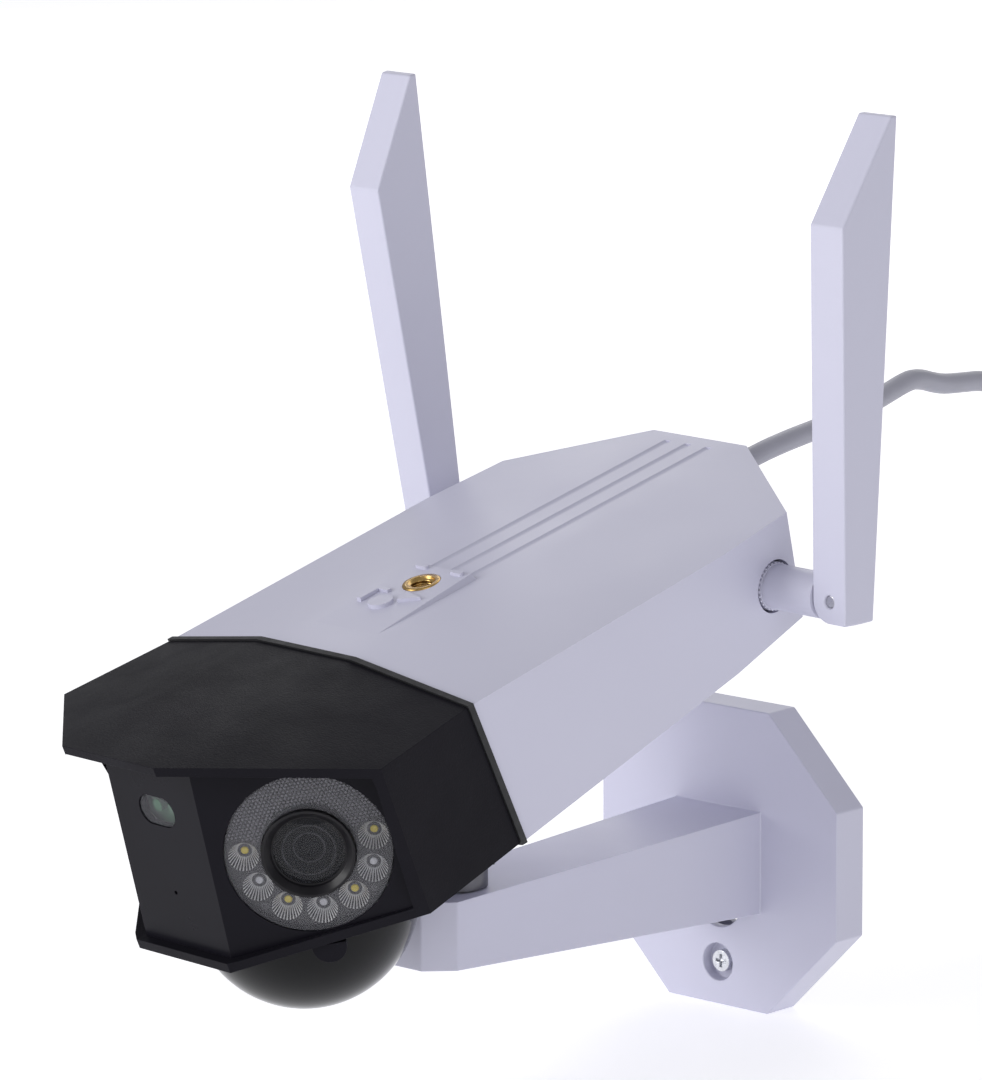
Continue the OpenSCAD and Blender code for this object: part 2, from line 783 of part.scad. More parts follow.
module wall_base() {
  color("#c8c8d2") difference() {
    union() {
      wall_slab(plate_half - 4.1, plate_cut - 1.8, 0, 2);
      difference() {
        wall_slab(plate_half - 4.1, plate_cut - 1.8, 0, 6);
        wall_slab(plate_half - 6.1, plate_cut - 2.6, -1, 7);
      }
    }
    translate([0, 1, passage_z]) rotate([90, 0, 0]) cylinder(r = passage_r + 1, h = 8);
    for (x = [-20, 20]) for (z = [-20, 20])
      translate([x, 1, z]) rotate([90, 0, 0]) cylinder(r = 2.25, h = 8);
    translate([0, 1, lock_z]) rotate([90, 0, 0]) cylinder(r = 1.55, h = 8);
    translate([0, -2, lock_z]) rotate([90, 0, 0]) cylinder(r = 6.4, h = 8);
  }
}

module bracket_lock_screw() {
  color("#a8aab0") translate([0, -plate_t + 3.2, lock_z]) rotate([90, 0, 0])
    screw(2.75, 2, 1.5, plate_t - 3.2);
}

module pan_post() {
  ear_r = 6.4;
  color("#8f9096") translate([0, -reach, 0]) rotate([0, 0, rest_pan]) difference() {
    union() {
      translate([0, 0, -3.6]) cylinder(r = 5.95, h = 14);
      translate([0, 0, arm_tip[1] + 0.7]) cylinder(r = post_r - 0.2, h = 6.4);
      for (s = [-1, 1]) translate([s * 6.3, 0, 0]) {
        translate([-1.45, 0, tilt_z]) rotate([0, 90, 0]) cylinder(r = ear_r, h = 2.9);
        intersection() {
          translate([-1.45, -ear_r, arm_tip[1] + 6]) cube([2.9, 2 * ear_r, tilt_z - arm_tip[1] - 6]);
          translate([-s * 6.3, 0, 0]) cylinder(r = post_r + 1.5, h = 30);
        }
      }
    }
    translate([-20, 0, tilt_z]) rotate([0, 90, 0]) cylinder(r = 2.55, h = 40);
    translate([0, 0, -5]) cylinder(r = 2, h = 12);
  }
}

module pan_screw() {
  color("#a8aab0") translate([0, -reach, -3.95]) rotate([180, 0, 0]) union() {
    screw(4.2, 2.4, 1.98, 9);
    tube(7, 1.9, 1);
  }
}

module tilt_bolt() {
  color("#a8aab0") translate([0, -reach, tilt_z]) rotate([0, 0, rest_pan]) rotate([0, 90, 0]) {
    translate([0, 0, -12]) cylinder(r = 2.5, h = 23.5);
    translate([0, 0, 7.8]) cylinder(r = 4.4, h = 3.7);
  }
}

module tilt_nut() {
  color("#a8aab0") translate([0, -reach, tilt_z]) rotate([0, 0, rest_pan]) rotate([0, -90, 0])
    difference() {
      translate([0, 0, 7.8]) cylinder(r = 4.6, h = 3.4, $fn = 6);
      cylinder(r = 2.52, h = 20);
    }
}

module camera_shoe() {
  shoe_t = 2.4;
  color("#8f9096") head_frame() difference() {
    union() {
      floor_frame(knuckle_y) {
        translate([0, 0, -shoe_t]) cylinder(r = 12.5, h = shoe_t);
        cylinder(r = 2.55, h = 8);
      }
      translate([-4.75, knuckle_y, knuckle_z]) rotate([0, 90, 0]) cylinder(r = 6.6, h = 9.5);
      intersection() {
        translate([-4.75, knuckle_y - 6.6, knuckle_z]) cube([9.5, 13.2, 12]);
        floor_frame(knuckle_y) translate([-20, -20, -20]) cube([40, 40, 20 - shoe_t + 0.1]);
      }
    }
    translate([-20, knuckle_y, knuckle_z]) rotate([0, 90, 0]) cylinder(r = 2.55, h = 40);
  }
}

// ---------- cable ----------

// Route of the cable's centre from the gland to the coil, chosen by hand, in the row's frame.
cable_r = cable_d / 2;
coil_x = 37;
coil_y = 140;
coil_r = 31.2;
coil_lay = ground_z + cable_r;
cable_route = [
  [7.4, -11.4, 99.3], [8.1, -2.5, 101.6], [8.6, 7.5, 103.4], [8.8, 18, 104.8], [8.9, 28, 106.5],
  [9, 38, 108.7], [9, 45, 110.5], [9, 50, 111.8], [9, 54, 112.4], [9, 58, 111.9],
  [9.1, 62, 110.8], [9.1, 67, 109.8], [9.2, 74, 109.3], [9.3, 80, 108.9], [9.4, 86, 107.7],
  [9.6, 93, 104.6], [9.8, 99.5, 99.6], [9.9, 104.4, 92.8], [10, 107.2, 84.5], [10, 108, 75],
  [10, 108, 60], [10, 108, 44], [10, 108, 28], [10, 108, 12], [10, 108, -3],
  [10.8, 107.9, -12], [13.6, 107.7, -20.5], [18.5, 107.3, -28], [25, 106.8, -33],
  [31, 106.4, coil_lay + 0.4]
];

function cross3(a, b) = [a[1] * b[2] - a[2] * b[1], a[2] * b[0] - a[0] * b[2],
                         a[0] * b[1] - a[1] * b[0]];
function unit(v) = v / norm(v);
// Centripetal-free Catmull-Rom point between b and c.
function spline(a, b, c, d, t) = 0.5 * ((2 * b) + (c - a) * t + (2 * a - 5 * b + 4 * c - d) * t * t
                                 + (3 * b - a - 3 * c + d) * t * t * t);
function at_index(p, i) = p[max(0, min(len(p) - 1, i))];
function smooth_route(p, n) = concat([for (i = [0:len(p) - 2]) for (k = [0:n - 1])
  spline(at_index(p, i - 1), p[i], p[i + 1], at_index(p, i + 2), k / n)], [p[len(p) - 1]]);
function tangent(p, i) = unit(at_index(p, i + 1) - at_index(p, i - 1));

module swept_tube(path, r, sides, ref) {
  n = len(path);
  ring = [for (i = [0:n - 1]) let (t = tangent(path, i), u = unit(cross3(t, ref)), w = cross3(t, u))
    for (k = [0:sides - 1]) path[i] + r * (cos(360 * k / sides) * u + sin(360 * k / sides) * w)];
  sides_faces = [for (i = [0:n - 2]) for (k = [0:sides - 1])
    [i * sides + k, i * sides + (k + 1) % sides, (i + 1) * sides + (k + 1) % sides,
     (i + 1) * sides + k]];
  caps = [[for (k = [sides - 1:-1:0]) k], [for (k = [0:sides - 1]) (n - 1) * sides + k]];
  polyhedron(points = ring, faces = concat(sides_faces, caps));
}

module cable() {
  color("#c9c9d6") swept_tube(smooth_route(cable_route, 2), cable_r, 10, [-1, 1, 1]);
}

module cable_gland() {
  color("#c9c9d6") head_frame() translate([0, housing_len - 7.4, gland_z]) rotate([-90, 0, 0]) {
    translate([0, 0, -2]) cylinder(r = 6.5, h = 2.3);
    cylinder(r = 3.9, h = 8.2);
    translate([0, 0, 6.4]) cylinder(r1 = 4.6, r2 = 3.3, h = 11.9);
  }
}

module cable_coil() {
  color("#c9c9d6") translate([coil_x, coil_y, ground_z]) rotate_extrude()
    translate([coil_r, cable_r]) union() {
      square([cable_d, cable_d], center = true);
      for (s = [-1, 1]) translate([s * cable_r, 0]) circle(r = cable_r, $fn = 32);
    }
}

module cable_tie() {
  color("#2a2a2e") translate([coil_x, coil_y, ground_z]) rotate([0, 0, 10])
    translate([coil_r, 0, cable_r]) difference() {
      cube([4 * cable_r + 2.6, 9, cable_d + 1.6], center = true);
      cube([4 * cable_r + 0.2, 20, cable_d + 0.1], center = true);
      translate([-20, -20, -cable_r - 10]) cube([40, 40, 10]);
    }
}

// Moulded junction with its two sockets, lying inside the coil.
network_w = 16;
network_h = 13;
socket_len = 20;
power_r = 4.8;
junction_h = 12;

module coil_centre() translate([coil_x - 1, coil_y - 2, ground_z + 0.1]) children();

module cable_junction() {
  color("#d4d4de") coil_centre() translate([-20, -11, 0]) cube([14, 27, junction_h]);
}

module network_socket() {
  color("#d4d4de") coil_centre() difference() {
    translate([-6, -11, 0]) cube([socket_len, network_w, network_h]);
    translate([socket_len - 6 - 12.5, -11 + 2.1, 2.4]) cube([14, 11.8, 8.2]);
  }
}

module power_socket() {
  color("#232327") coil_centre() translate([-6, 10.6, 5]) rotate([0, 90, 0]) difference() {
    cylinder(r = power_r, h = socket_len - 1);
    translate([0, 0, 8]) tube(2.8, 1.05, socket_len);
  }
}

module left_antenna_base() antenna_base(1, lean_left);
module right_antenna_base() antenna_base(-1, lean_right);
module left_hinge_pin() hinge_pin(1, lean_left);
module right_hinge_pin() hinge_pin(-1, lean_right);
module left_paddle() paddle(1, lean_left);
module right_paddle() paddle(-1, lean_right);

main_housing();
front_hood();
hood_gasket();
face_plate();
ring_windows();
lens_barrels();
front_lenses();
rear_lenses();
lens_holders();
image_sensors();
sensor_boards();
lamp_reflectors();
lamp_boards();
white_lamps();
infrared_lamps();
light_sensor_window();
light_sensor_board();
microphone();
microphone_gasket();
motion_dome();
dome_gasket();
motion_sensor_board();
motion_sensor();
main_board();
processor();
memory_chips();
heat_sink();
wifi_module();
board_screws();
speaker();
card_reader();
card_cover();
card_cover_screws();
reset_button();
hood_screws();
roof_insert();
floor_insert();
antenna_sockets();
antenna_leads();
cable_gland();
cable();
cable_coil();
cable_tie();
cable_junction();
network_socket();
power_socket();
camera_shoe();
tilt_bolt();
tilt_nut();
pan_post();
pan_screw();
wall_bracket();
wall_base();
bracket_lock_screw();
left_antenna_base();
left_hinge_pin();
left_paddle();
right_antenna_base();
right_hinge_pin();
right_paddle();
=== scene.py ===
"""Outdoor security camera on an octagonal wall bracket: the looks.

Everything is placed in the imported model's frame: metres, +Z up, the wall is the plane y = 0
and the head faces -Y. Sizes in this file are in millimetres and MM turns them into
metres. The head has its own frame, HEAD, whose origin is the middle of the roof's seam.
"""

import json
from math import atan2, cos, degrees, pi, radians, sin

import bmesh
import bpy
from mathutils import Matrix, Vector


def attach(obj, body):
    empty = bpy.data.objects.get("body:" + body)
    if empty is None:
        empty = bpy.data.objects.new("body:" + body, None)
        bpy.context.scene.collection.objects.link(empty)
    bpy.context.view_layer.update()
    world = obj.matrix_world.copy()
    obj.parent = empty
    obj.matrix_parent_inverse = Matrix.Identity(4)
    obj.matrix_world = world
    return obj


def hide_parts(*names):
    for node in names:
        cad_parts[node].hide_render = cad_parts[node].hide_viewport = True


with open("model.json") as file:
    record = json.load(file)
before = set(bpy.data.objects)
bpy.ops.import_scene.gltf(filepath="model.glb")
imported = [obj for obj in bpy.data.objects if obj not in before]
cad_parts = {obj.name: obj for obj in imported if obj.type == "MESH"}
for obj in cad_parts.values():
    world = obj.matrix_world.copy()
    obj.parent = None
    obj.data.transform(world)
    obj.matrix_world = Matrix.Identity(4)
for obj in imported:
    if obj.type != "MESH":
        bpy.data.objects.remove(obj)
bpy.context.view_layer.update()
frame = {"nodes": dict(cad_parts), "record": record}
NODES = frame["nodes"]
MM = 0.001

# ---------------------------------------------------------------- frames, in millimetres

REST_TILT = radians(15)
REST_PAN = radians(-4.5)
REACH = 106.0
TILT_Z = 25.0
KNUCKLE = Vector((0, 32, -58.7))

SWEEP = radians(44)
PANEL_HALF = 15.0
PANEL_Y = 52.0
LENS_Q = 22.5
LENS_Z = -30.0
LAMP_COUNT = 7
LAMP_CIRCLE_R = 15.0
LAMP_STEP = 31.0
INSERT_Y = 37.5
DOME = Vector((0, -16.2, -55.2))
DOME_R = 26.8
DOME_RIM = 7.5
HOUSING_LEN = 132.0
GLAND_Z = -11.5
GROUND_Z = -38.15


def turn(angle, axis):
    return Matrix.Rotation(angle, 4, axis)


def shift(x, y, z):
    return Matrix.Translation(Vector((x, y, z)))


SCALE = Matrix.Scale(MM, 4)
HEAD = (shift(0, -REACH, TILT_Z) @ turn(REST_PAN, "Z") @ turn(REST_TILT, "X")
        @ Matrix.Translation(-KNUCKLE))


def lens_frame(side):
    """Origin on the lens panel's front face, +Z out along the optical axis, +Y up the face."""
    mirror = Matrix.Diagonal((side, 1, 1, 1))
    x = PANEL_HALF + LENS_Q * cos(SWEEP)
    y = -PANEL_Y + LENS_Q * sin(SWEEP)
    return HEAD @ mirror @ shift(x, y, LENS_Z) @ turn(SWEEP, "Z") @ turn(pi / 2, "X")


SIDES = {"left": 1, "right": -1}

# ---------------------------------------------------------------- camera

VIEW_AZIMUTH = radians(42.6)
VIEW_ELEVATION = radians(10.69)
VIEW_ROLL = radians(-0.26)
VIEW_DISTANCE = 1600.0
VIEW_RIGHT_OF_ORIGIN = -62.9
VIEW_ABOVE_ORIGIN = 76.9
FRAME_HEIGHT_MM = 269.3


def make_camera():
    a, e = VIEW_AZIMUTH, VIEW_ELEVATION
    back = Vector((sin(a) * cos(e), -cos(a) * cos(e), sin(e)))
    right = Vector((cos(a), sin(a), 0))
    up = back.cross(right)
    data = bpy.data.cameras.new("view")
    data.sensor_fit = "VERTICAL"
    data.sensor_height = 36
    data.lens = 36 * VIEW_DISTANCE / FRAME_HEIGHT_MM
    data.clip_end = 50
    camera = bpy.data.objects.new("view", data)
    target = right * VIEW_RIGHT_OF_ORIGIN + up * VIEW_ABOVE_ORIGIN
    axes = Matrix((right, up, back)).transposed().to_4x4()
    camera.matrix_world = (Matrix.Translation((target + back * VIEW_DISTANCE) * MM)
                           @ axes @ turn(VIEW_ROLL, "Z"))
    bpy.context.scene.collection.objects.link(camera)
    bpy.context.scene.camera = camera


make_camera()

# ---------------------------------------------------------------- materials


class Finish:
    """A principled material whose colour, roughness and relief vary over the surface."""

    def __init__(self, name, color, roughness, **sockets):
        self.material = bpy.data.materials.new(name)
        self.material.use_nodes = True
        self.nodes = self.material.node_tree.nodes
        self.links = self.material.node_tree.links
        self.shader = self.nodes["Principled BSDF"]
        self.color = color
        self.roughness = roughness
        self.shader.inputs["Base Color"].default_value = (*color, 1)
        self.shader.inputs["Roughness"].default_value = roughness
        for label, value in sockets.items():
            self.shader.inputs[label.replace("_", " ")].default_value = value
        self.coordinates = self.nodes.new("ShaderNodeTexCoord").outputs["Object"]
        self.relief = None

    def noise(self, size_mm, detail=3.0, stretch=None, kind="ShaderNodeTexNoise"):
        """A noise texture whose features are about size_mm across."""
        texture = self.nodes.new(kind)
        texture.inputs["Scale"].default_value = 1 / (size_mm * MM)
        if "Detail" in texture.inputs:
            texture.inputs["Detail"].default_value = detail
        source = self.coordinates
        if stretch:
            mapping = self.nodes.new("ShaderNodeMapping")
            mapping.inputs["Scale"].default_value = stretch
            self.links.new(source, mapping.inputs["Vector"])
            source = mapping.outputs["Vector"]
        self.links.new(source, texture.inputs["Vector"])
        return texture.outputs[0]

    def blotches(self, size_mm, amount):
        """Base colour drifts by amount, from darker to lighter."""
        ramp = self.nodes.new("ShaderNodeValToRGB")
        ramp.color_ramp.elements[0].position = 0.3
        ramp.color_ramp.elements[1].position = 0.7
        for element, factor in zip(ramp.color_ramp.elements, (1 - amount, 1 + amount)):
            element.color = (*[min(1, c * factor) for c in self.color], 1)
        self.links.new(self.noise(size_mm, 4), ramp.inputs["Fac"])
        self.links.new(ramp.outputs["Color"], self.shader.inputs["Base Color"])
        return self

    def smears(self, size_mm, amount):
        """Roughness drifts by amount either way."""
        spread = self.nodes.new("ShaderNodeMapRange")
        spread.inputs["From Min"].default_value = 0.3
        spread.inputs["From Max"].default_value = 0.7
        spread.inputs["To Min"].default_value = max(0.02, self.roughness - amount)
        spread.inputs["To Max"].default_value = min(1, self.roughness + amount)
        self.links.new(self.noise(size_mm, 5), spread.inputs["Value"])
        self.links.new(spread.outputs["Result"], self.shader.inputs["Roughness"])
        return self

    def grain(self, size_mm, depth_mm, strength=1.0, detail=2.0, stretch=None, kind=None):
        """Fine relief, stacked on any relief already there."""
        bump = self.nodes.new("ShaderNodeBump")
        bump.inputs["Distance"].default_value = depth_mm * MM
        bump.inputs["Strength"].default_value = strength
        height = self.noise(size_mm, detail, stretch, kind or "ShaderNodeTexNoise")
        self.links.new(height, bump.inputs["Height"])
        if self.relief:
            self.links.new(self.relief, bump.inputs["Normal"])
        self.relief = bump.outputs["Normal"]
        self.links.new(self.relief, self.shader.inputs["Normal"])
        return self


def brushed(name, color, roughness, line_mm):
    finish = Finish(name, color, roughness, Metallic=1.0)
    return finish.smears(4, 0.08).blotches(6, 0.06).grain(line_mm, 0.01, stretch=(1, 12, 12))


FINISHES = {
    "white_shell": Finish("white_shell", (0.575, 0.572, 0.69), 0.38, Specular_IOR_Level=0.35)
    .blotches(60, 0.012).smears(25, 0.05).grain(0.45, 0.012).grain(14, 0.02),
    "base_plastic": Finish("base_plastic", (0.46, 0.46, 0.53), 0.5)
    .blotches(40, 0.02).smears(12, 0.06).grain(0.5, 0.02),
    "black_shell": Finish("black_shell", (0.0085, 0.008, 0.0115), 0.46, Specular_IOR_Level=0.06)
    .blotches(30, 0.1).smears(12, 0.05).grain(0.5, 0.05, detail=4).grain(1.6, 0.02),
    "face_gloss": Finish("face_gloss", (0.0075, 0.007, 0.0105), 0.3, Specular_IOR_Level=0.08)
    .blotches(30, 0.1).smears(20, 0.05).grain(0.35, 0.006),
    "black_rubber": Finish("black_rubber", (0.012, 0.012, 0.014), 0.62)
    .blotches(4, 0.2).smears(3, 0.08).grain(0.4, 0.03),
    "clear_window": Finish("clear_window", (0.3, 0.3, 0.33), 0.04, IOR=1.45,
                           Alpha=0.14).smears(8, 0.02).grain(9, 0.01),
    "lens_housing": Finish("lens_housing", (0.0065, 0.006, 0.008), 0.34, Specular_IOR_Level=0.25)
    .blotches(3, 0.2).smears(3, 0.06).grain(3, 0.004),
    "lens_glass": Finish("lens_glass", (0.012, 0.013, 0.018), 0.04, IOR=1.5,
                         Alpha=0.4).smears(4, 0.02).grain(12, 0.002),
    "chip_black": Finish("chip_black", (0.02, 0.02, 0.024), 0.5)
    .blotches(2, 0.2).smears(2, 0.08).grain(0.15, 0.01),
    "board_green": Finish("board_green", (0.012, 0.1, 0.035), 0.35)
    .blotches(3, 0.3).smears(2, 0.1).grain(0.8, 0.03),
    "reflector_silver": Finish("reflector_silver", (0.95, 0.95, 0.97), 0.32, Metallic=0.1)
    .blotches(2, 0.06).smears(1, 0.06).grain(0.4, 0.01),
    "board_white": Finish("board_white", (0.7, 0.7, 0.68), 0.4)
    .blotches(3, 0.05).smears(2, 0.08).grain(0.4, 0.01),
    "white_lamp": Finish("white_lamp", (0.95, 0.74, 0.06), 0.35)
    .blotches(0.5, 0.1).smears(0.5, 0.08).grain(0.15, 0.01),
    "infrared_lamp": Finish("infrared_lamp", (0.75, 0.75, 0.82), 0.12, Coat_Weight=0.6)
    .blotches(0.5, 0.15).smears(0.5, 0.06).grain(0.6, 0.003),
    "steel": brushed("steel", (0.55, 0.55, 0.58), 0.3, 0.5),
    "dome_black": Finish("dome_black", (0.004, 0.0042, 0.0052), 0.12, Specular_IOR_Level=0.16,
                         Coat_Weight=0.1, Coat_Roughness=0.05).blotches(20, 0.1).smears(15, 0.02),
    "heat_sink_metal": brushed("heat_sink_metal", (0.6, 0.61, 0.63), 0.35, 0.5),
    "grey_plastic": Finish("grey_plastic", (0.13, 0.127, 0.15), 0.3)
    .blotches(2, 0.2).smears(2, 0.08).grain(2, 0.004),
    "button_plastic": Finish("button_plastic", (0.015, 0.015, 0.017), 0.45)
    .blotches(3, 0.2).smears(2, 0.08).grain(0.5, 0.02),
    "brass": Finish("brass", (0.52, 0.34, 0.12), 0.27, Metallic=1.0)
    .blotches(2.5, 0.14).smears(1.5, 0.09).grain(0.5, 0.012),
    "lead_black": Finish("lead_black", (0.012, 0.012, 0.013), 0.5)
    .blotches(2, 0.2).smears(2, 0.08).grain(0.3, 0.02),
    "cable_jacket": Finish("cable_jacket", (0.36, 0.36, 0.42), 0.42)
    .blotches(12, 0.05).smears(6, 0.07).grain(0.9, 0.03).grain(7, 0.05),
    "connector_plastic": Finish("connector_plastic", (0.5, 0.5, 0.57), 0.42)
    .blotches(12, 0.03).smears(6, 0.07).grain(0.5, 0.02),
    "cast_metal": Finish("cast_metal", (0.13, 0.13, 0.145), 0.38, Metallic=0.75)
    .blotches(5, 0.12).smears(3, 0.1).grain(0.6, 0.03),
    "zinc": Finish("zinc", (0.6, 0.61, 0.64), 0.26, Metallic=1.0)
    .blotches(1.5, 0.12).smears(1, 0.1).grain(0.5, 0.015),
}
MATERIALS = {name: finish.material for name, finish in FINISHES.items()}
SLOT_OF = {s["node"]: s["material_slot"] for s in frame["record"]["subparts"]}

for name, obj in NODES.items():
    obj.data.materials.clear()
    obj.data.materials.append(MATERIALS[SLOT_OF[name]])

# ---------------------------------------------------------------- mesh helpers


def finish_piece(name, bm, body, slot, replaced=(), smooth=35.0, flip_check=True):
    """Turns a bmesh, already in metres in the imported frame, into a piece on a body."""
    if flip_check:
        bmesh.ops.recalc_face_normals(bm, faces=bm.faces)
    mesh = bpy.data.meshes.new(name)
    bm.to_mesh(mesh)
    bm.free()
    mesh.polygons.foreach_set("use_smooth", [True] * len(mesh.polygons))
    mesh.set_sharp_from_angle(angle=radians(smooth))
    mesh.materials.append(MATERIALS[slot])
    obj = bpy.data.objects.new(name, mesh)
    bpy.context.scene.collection.objects.link(obj)
    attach(obj, body)
    if replaced:
        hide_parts(*replaced)
    return obj


def body_of(node):
    for body, members in frame["record"]["behaviour"]["bodies"].items():
        if node in members:
            return body
    raise ValueError(node)


def rounded(node, radius_mm, segments=3, angle=32.0, clamp=True):
    """A copy of a CAD node whose edges are rounded, in place of the node."""
    bm = bmesh.new()
    bm.from_mesh(NODES[node].data)
    bmesh.ops.remove_doubles(bm, verts=bm.verts, dist=2e-6)
    bmesh.ops.dissolve_limit(bm, angle_limit=radians(0.4), verts=bm.verts, edges=bm.edges,
                             delimit={"NORMAL"})
    obj = finish_piece(node + "_finish", bm, body_of(node), SLOT_OF[node], [node],
                       smooth=angle, flip_check=False)
    bevel = obj.modifiers.new("edges", "BEVEL")
    bevel.width = radius_mm * MM
    bevel.segments = segments
    bevel.limit_method = "ANGLE"
    bevel.angle_limit = radians(angle)
    bevel.miter_outer = "MITER_ARC"
    bevel.use_clamp_overlap = clamp
    bevel.harden_normals = False
    weighted = obj.modifiers.new("normals", "WEIGHTED_NORMAL")
    weighted.keep_sharp = False
    weighted.weight = 80
    return obj


def lathe(bm, profile, matrix, segments=64, ripple=None):
    """Turns (radius, height) points about Z. ripple(angle, index) scales the radius."""
    rings = []
    for index, (r, z) in enumerate(profile):
        if r < 1e-6:
            rings.append([bm.verts.new(matrix @ Vector((0, 0, z)))])
            continue
        ring = []
        for k in range(segments):
            angle = 2 * pi * k / segments
            scale = ripple(angle, index) if ripple else 1.0
            ring.append(bm.verts.new(matrix @ Vector((r * scale * cos(angle),
                                                      r * scale * sin(angle), z))))
        rings.append(ring)
    for a, b in zip(rings, rings[1:]):
        for k in range(segments):
            j = (k + 1) % segments
            if len(a) == 1 and len(b) == 1:
                continue
            if len(a) == 1:
                bm.faces.new((a[0], b[k], b[j]))
            elif len(b) == 1:
                bm.faces.new((a[k], b[0], a[j]))
            else:
                bm.faces.new((a[k], b[k], b[j], a[j]))


def closed_profile(profile):
    return list(profile) + [profile[0]]


def block(bm, low, high, matrix, bevel=0.0):
    """A box between two corners with softened edges."""
    low, high = Vector(low), Vector(high)
    middle, size = (low + high) / 2, high - low
    made = bmesh.ops.create_cube(bm, size=1.0)
    verts = made["verts"]
    bmesh.ops.transform(bm, verts=verts, matrix=matrix @ Matrix.Translation(middle)
                        @ Matrix.Diagonal((*size, 1)))
    if bevel:
        edges = list({e for v in verts for e in v.link_edges})
        bmesh.ops.bevel(bm, geom=edges, offset=bevel * MM, segments=2, affect="EDGES",
                        profile=0.5)


# ---------------------------------------------------------------- cord

CABLE_D = 5.2
COIL = Vector((37, 140, GROUND_Z + CABLE_D / 2))
COIL_OUTER_R = 33.8
COIL_PITCH = 5.25
COIL_START = radians(-93.5)
COIL_TURNS = (183.5 + 360) / 360
COIL_STEPS = 60
STEP_IN_AFTER = 0.76    # turns before the cord moves in by one pitch
STEP_IN_OVER = 0.22     # turns it takes to do so
BEND_R = 14.5
BEND_STEPS = 8
ROUTE = [
    (7.4, -11.4, 99.3), (8.1, -2.5, 101.6), (8.6, 7.5, 103.4), (8.8, 18, 104.8),
    (8.9, 28, 106.5), (9, 38, 108.7), (9, 45, 110.5), (9, 50, 111.8), (9, 54, 112.4),
    (9, 58, 111.9), (9.1, 62, 110.8), (9.1, 67, 109.8), (9.2, 74, 109.3),
    (9.3, 80, 108.9), (9.4, 86, 107.7), (9.6, 93, 104.6), (9.8, 99.5, 99.6),
    (9.9, 104.4, 92.8), (10, 107.2, 84.5), (10, 108, 75), (10, 108, 60), (10, 108, 44),
    (10, 108, 28), (10, 108, 12), (10, 108, -3), (10.8, 107.9, -12), (13.6, 107.7, -20.5),
    (18.5, 107.3, -28), (25, 106.8, -33),
    (31, 106.4, GROUND_Z + 3.0),
]


def spline(points, steps):
    """Catmull-Rom curve through the points, steps to each stretch."""
    out = []
    for i in range(len(points) - 1):
        a = points[max(i - 1, 0)]
        b, c = points[i], points[i + 1]
        d = points[min(i + 2, len(points) - 1)]
        for k in range(steps):
            t = k / steps
            out.append(0.5 * (2 * b + (c - a) * t + (2 * a - 5 * b + 4 * c - d) * t * t
                              + (3 * b - a - 3 * c + d) * t ** 3))
    out.append(points[-1])
    return out


def cable_centreline():
    """Route to the coil, one and a half turns, then an easy bend into the junction."""
    points = [Vector(p) for p in ROUTE]
    for i in range(COIL_STEPS + 1):
        swept = COIL_TURNS * i / COIL_STEPS
        blend = min(1.0, max(0.0, (swept - STEP_IN_AFTER) / STEP_IN_OVER))
        radius = COIL_OUTER_R - COIL_PITCH * (3 * blend ** 2 - 2 * blend ** 3)
        angle = COIL_START + 2 * pi * swept
        points.append(COIL + Vector((radius * cos(angle), radius * sin(angle), 0)))
    inner = COIL_OUTER_R - COIL_PITCH
    for i in range(1, BEND_STEPS + 1):
        angle = pi / 2 + pi / 2 * i / BEND_STEPS
        across = BEND_R * cos(angle)
        along = inner - BEND_R + BEND_R * sin(angle)
        points.append(COIL + Vector((across, along, 0)))
    return spline(points, 3)


cable_points = cable_centreline()
cord_curve = bpy.data.curves.new("cable_cord", "CURVE")
cord_curve.dimensions = "3D"
cord_curve.bevel_depth = CABLE_D / 2 * MM
cord_curve.bevel_resolution = 6
cord_curve.use_fill_caps = True
line = cord_curve.splines.new("POLY")
line.points.add(len(cable_points) - 1)
for point, place in zip(line.points, cable_points):
    point.co = (*(place * MM), 1)
line.use_smooth = True
cord_curve.materials.append(MATERIALS["cable_jacket"])
cord = bpy.data.objects.new("cable_cord", cord_curve)
bpy.context.scene.collection.objects.link(cord)
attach(cord, "head")
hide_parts("cable", "cable_coil")

# ---------------------------------------------------------------- rounded shells

rounded("main_housing", 0.9, 4)
rounded("front_hood", 0.8, 3)
rounded("face_plate", 0.5, 3)
rounded("wall_bracket", 0.9, 4)
for side in SIDES:
    rounded(side + "_paddle", 0.5, 3, clamp=False)
    rounded(side + "_antenna_base", 0.25, 2)

# ---------------------------------------------------------------- gland, dome, insert

BOOT_BORE_R = 2.62
BOOT_INSET = 7.4
RIB_COUNT = 6
RIB_STEP = 1.7
RIB_TAPER = 0.19

boot = bmesh.new()
ribs = []
for i in range(RIB_COUNT):
    z, r = 7.0 + RIB_STEP * i, 4.6 - RIB_TAPER * i
    ribs += [(r, z), (r, z + 0.9), (r - 0.55, z + 1.1), (r - 0.55, z + 1.5)]
lathe(boot, closed_profile([(BOOT_BORE_R, -2), (6.3, -2), (6.5, -1.8), (6.5, 0), (6.2, 0.3),
                            (3.9, 0.3), (3.9, 6.6)] + ribs
                           + [(3.3, 17.6), (3.1, 18.3), (BOOT_BORE_R, 18.3)]),
      SCALE @ HEAD @ shift(0, HOUSING_LEN - BOOT_INSET, GLAND_Z) @ turn(-pi / 2, "X"), 48)
finish_piece("cable_boot", boot, "head", "cable_jacket", ["cable_gland"], smooth=40)

DOME_WALL = 1.8


def half_bowl(r, steps):
    """From the bottom of a bowl of radius r up to its rim."""
    return [(r * sin(pi / 2 * k / steps), -r * cos(pi / 2 * k / steps)) for k in range(steps + 1)]


